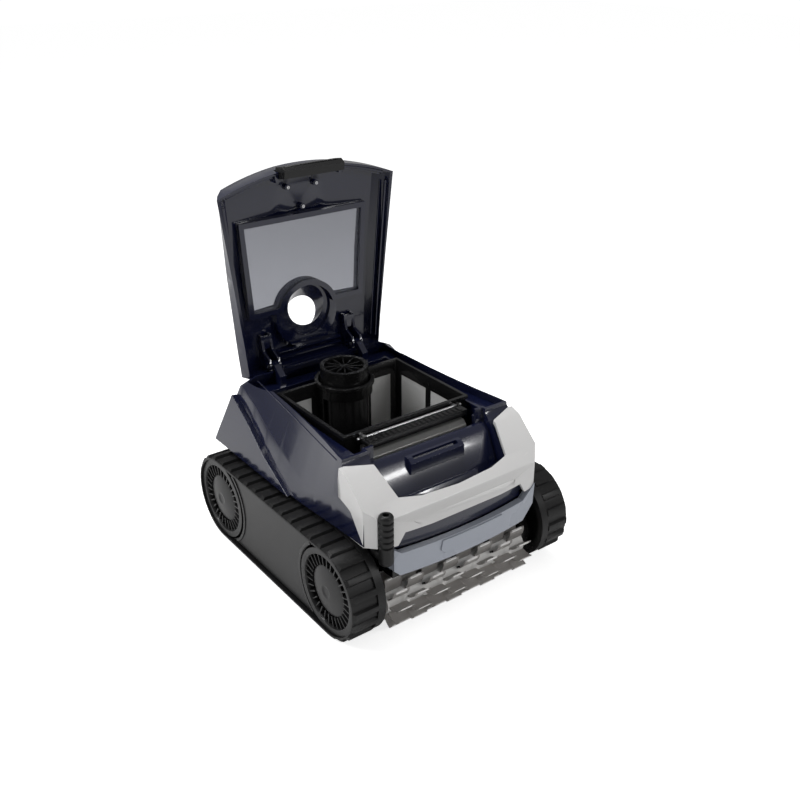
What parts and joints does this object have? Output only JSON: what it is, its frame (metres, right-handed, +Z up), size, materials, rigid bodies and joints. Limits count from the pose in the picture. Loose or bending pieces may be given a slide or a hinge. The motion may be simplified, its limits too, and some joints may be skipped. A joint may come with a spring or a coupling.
{
  "type": "pool cleaner",
  "caption": "Tracked robotic pool cleaner with an open hinged lid, lift-out filter canister, finned roller brush, pump column and rubber tracks.",
  "frame": {"origin": "on the ground under the middle of the wheelbase, on the centre plane", "axes": "+Z up, the front with its brush and bumper faces -Y, +X towards the right-hand track"},
  "size_m": [0.38, 0.428, 0.552],
  "materials": {
    "navy_gloss": "dark navy gloss moulding",
    "black_rubber": "matt black track rubber",
    "black_plastic": "satin black moulding",
    "grey_plastic": "dark grey moulding",
    "white_gloss": "white gloss moulding",
    "pale_grey": "pale blue-grey moulding",
    "smoke_clear": "smoke-grey clear window",
    "filter_fabric": "pale fine filter mesh",
    "cartridge_grey": "grey translucent moulding",
    "brush_pvc": "taupe moulded PVC",
    "brush_white": "pale tube",
    "steel": "stainless steel",
    "board_green": "circuit board",
    "motor_metal": "motor can"
  },
  "bodies": {
    "root": {"chassis_pan": "black_plastic", "intake_duct": "black_plastic", "motor_case": "black_plastic", "motor_case_lid": "black_plastic", "drive_motors": "motor_metal", "pump_motor": "motor_metal", "control_board": "board_green", "pump_column": "black_plastic", "propeller_guard": "black_plastic", "track_frames": "black_plastic", "side_covers": "grey_plastic", "front_axles": "steel", "shaft_seals": "black_rubber", "track_belt_left": "black_rubber", "track_belt_right": "black_rubber", "body_shell": "navy_gloss", "filter_well": "navy_gloss", "side_fins": "navy_gloss", "front_bumper": "white_gloss", "nose_scoop": "navy_gloss", "lid_catch": "navy_gloss", "nose_band": "navy_gloss", "lower_bumper": "pale_grey", "bumper_insert": "pale_grey", "nose_support": "black_plastic", "brush_arms": "black_plastic", "cable_gland": "black_rubber", "hinge_lugs": "navy_gloss", "hinge_pins": "steel"},
    "lid": {"lid_shell": "navy_gloss", "window_pane": "smoke_clear", "window_frame": "navy_gloss", "outlet_duct": "navy_gloss", "hinge_arms": "navy_gloss", "lid_screws": "steel", "latch_pin": "steel"},
    "latch": {"latch_grip": "black_plastic"},
    "canister": {"canister_frame": "black_plastic", "filter_mesh": "filter_fabric", "canister_front_cartridge": "cartridge_grey", "flap_pin": "steel", "handle_pin": "steel"},
    "carry_handle": {"canister_handle": "black_plastic"},
    "flap": {"intake_flap": "black_plastic"},
    "impeller": {"propeller": "black_plastic", "pump_shaft": "steel"},
    "brush": {"brush_core": "brush_white", "brush_fins": "brush_pvc", "brush_spindle": "steel"},
    "wheel_front_left": {"wheel_front_left": "grey_plastic", "hub_cap_front_left": "grey_plastic"},
    "wheel_front_right": {"wheel_front_right": "grey_plastic", "hub_cap_front_right": "grey_plastic"},
    "wheel_rear_left": {"wheel_rear_left": "grey_plastic", "hub_cap_rear_left": "grey_plastic", "drive_shaft_left": "steel"},
    "wheel_rear_right": {"wheel_rear_right": "grey_plastic", "hub_cap_rear_right": "grey_plastic", "drive_shaft_right": "steel"}
  },
  "joints": [
    {"name": "lid_hinge", "type": "hinge", "parent": "root", "child": "lid", "pos_m": [0, 0.161, 0.255], "axis": [-1, 0, 0], "range_deg": [-92, 0]},
    {"name": "latch_press", "type": "hinge", "parent": "lid", "child": "latch", "pos_m": [0, 0.164, 0.5365], "axis": [1, 0, 0], "range_deg": [-8, 0], "stiffness_Nm_per_rad": 0.6},
    {"name": "canister_lift", "type": "slide", "parent": "root", "child": "canister", "axis": [0, 0, 1], "range_m": [0, 0.15]},
    {"name": "carry_handle_tilt", "type": "hinge", "parent": "canister", "child": "carry_handle", "pos_m": [0, -0.081, 0.236], "axis": [-1, 0, 0], "range_deg": [0, 80]},
    {"name": "intake_flap_swing", "type": "hinge", "parent": "canister", "child": "flap", "pos_m": [0, -0.027, 0.113], "axis": [-1, 0, 0], "range_deg": [0, 60]},
    {"name": "impeller_spin", "type": "hinge", "parent": "root", "child": "impeller", "pos_m": [0, 0.082, 0.234], "axis": [0, 0, 1], "continuous": true},
    {"name": "drive_left", "type": "hinge", "parent": "root", "child": "wheel_rear_left", "pos_m": [-0.16, 0.145, 0.069], "axis": [1, 0, 0], "continuous": true},
    {"name": "idler_left", "type": "hinge", "parent": "root", "child": "wheel_front_left", "pos_m": [-0.16, -0.145, 0.069], "axis": [1, 0, 0], "continuous": true},
    {"name": "drive_right", "type": "hinge", "parent": "root", "child": "wheel_rear_right", "pos_m": [0.16, 0.145, 0.069], "axis": [1, 0, 0], "continuous": true},
    {"name": "idler_right", "type": "hinge", "parent": "root", "child": "wheel_front_right", "pos_m": [0.16, -0.145, 0.069], "axis": [1, 0, 0], "continuous": true},
    {"name": "brush_spin", "type": "hinge", "parent": "root", "child": "brush", "pos_m": [0, -0.176, 0.042], "axis": [1, 0, 0], "continuous": true}
  ],
  "couplings": [
    {"joint": "idler_left", "follows": "drive_left", "ratio": 1},
    {"joint": "idler_right", "follows": "drive_right", "ratio": 1},
    {"joint": "brush_spin", "follows": "drive_left", "ratio": 1.75}
  ]
}
